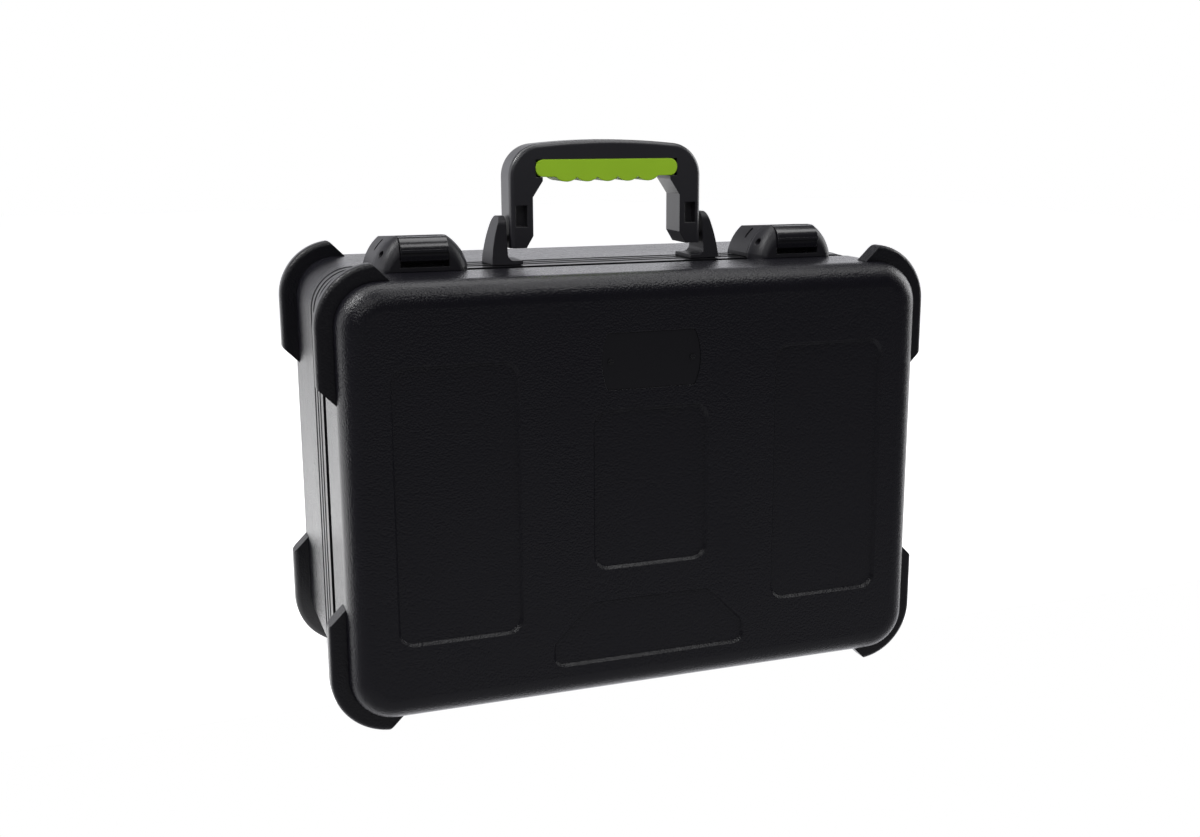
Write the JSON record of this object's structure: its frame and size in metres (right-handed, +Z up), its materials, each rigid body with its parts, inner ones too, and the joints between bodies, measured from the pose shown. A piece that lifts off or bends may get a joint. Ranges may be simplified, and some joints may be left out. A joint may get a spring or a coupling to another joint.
{
  "type": "microphone case",
  "caption": "Moulded hard case for handheld microphones: a deep base and a hinged lid on corner guards, with lever latches, a folding carry handle and foam drops inside.",
  "frame": {"origin": "under the middle of the case, on the surface that its lower corner guards stand on", "axes": "+Z up towards the carry handle, +X along the width to the right as seen from the badge side, -Y out of the lid face that carries the badge"},
  "size_m": [0.475, 0.2384, 0.4206],
  "materials": {
    "shell_black": "fine pebble grain, satin",
    "guard_black": "the same pebble grain as the shells",
    "rim_black": "smooth satin",
    "recess_black": "smooth, in the shade of the gap",
    "seal_rubber": "matt",
    "latch_black": "fine matt",
    "lever_black": "semi gloss",
    "handle_black": "satin",
    "grip_green": "soft satin rubber",
    "badge_black": "smooth satin, bare",
    "hinge_black": "black powder coat",
    "pin_steel": "zinc plated",
    "screw_black": "black oxide",
    "foam_charcoal": "open-cell foam"
  },
  "bodies": {
    "base": {"base_shell": "shell_black", "base_valance": "rim_black", "rim_seal": "seal_rubber", "base_guard_top_left": "guard_black", "base_guard_top_right": "guard_black", "base_guard_bottom_left": "guard_black", "base_guard_bottom_right": "guard_black", "base_guard_screws": "pin_steel", "handle_bracket_left": "latch_black", "handle_bracket_right": "latch_black", "handle_pin_left": "pin_steel", "handle_pin_right": "pin_steel", "bracket_screws": "pin_steel", "latch_body_left": "latch_black", "latch_body_right": "latch_black", "latch_body_screws": "pin_steel", "hinge_leaf_base_left": "hinge_black", "hinge_leaf_base_right": "hinge_black", "hinge_pin_left": "pin_steel", "hinge_pin_right": "pin_steel", "hinge_rivets_base": "pin_steel", "drop_foam": "foam_charcoal", "base_foam_pad": "foam_charcoal"},
    "lid": {"lid_shell": "shell_black", "lid_valance": "recess_black", "lid_guard_top_left": "guard_black", "lid_guard_top_right": "guard_black", "lid_guard_bottom_left": "guard_black", "lid_guard_bottom_right": "guard_black", "lid_guard_screws": "pin_steel", "badge_plate": "badge_black", "badge_screws": "screw_black", "latch_frame_left": "latch_black", "latch_frame_right": "latch_black", "latch_frame_screws": "pin_steel", "lever_pin_left": "pin_steel", "lever_pin_right": "pin_steel", "hinge_leaf_lid_left": "hinge_black", "hinge_leaf_lid_right": "hinge_black", "hinge_rivets_lid": "pin_steel", "lid_foam": "foam_charcoal"},
    "handle": {"handle_frame": "handle_black", "handle_grip": "grip_green"},
    "lever_left": {"latch_lever_left": "lever_black"},
    "lever_right": {"latch_lever_right": "lever_black"}
  },
  "joints": [
    {"name": "lid_hinge", "type": "hinge", "parent": "base", "child": "lid", "pos_m": [0, -0.03325, 0.0085], "axis": [1, 0, 0], "range_deg": [0, 105]},
    {"name": "handle_pivot", "type": "hinge", "parent": "base", "child": "handle", "pos_m": [0, -0.011, 0.3475], "axis": [1, 0, 0], "range_deg": [-88, 88]},
    {"name": "lever_left_lift", "type": "hinge", "parent": "lid", "child": "lever_left", "pos_m": [-0.15, -0.042, 0.341], "axis": [-1, 0, 0], "range_deg": [0, 75]},
    {"name": "lever_right_lift", "type": "hinge", "parent": "lid", "child": "lever_right", "pos_m": [0.15, -0.042, 0.341], "axis": [-1, 0, 0], "range_deg": [0, 75]}
  ]
}
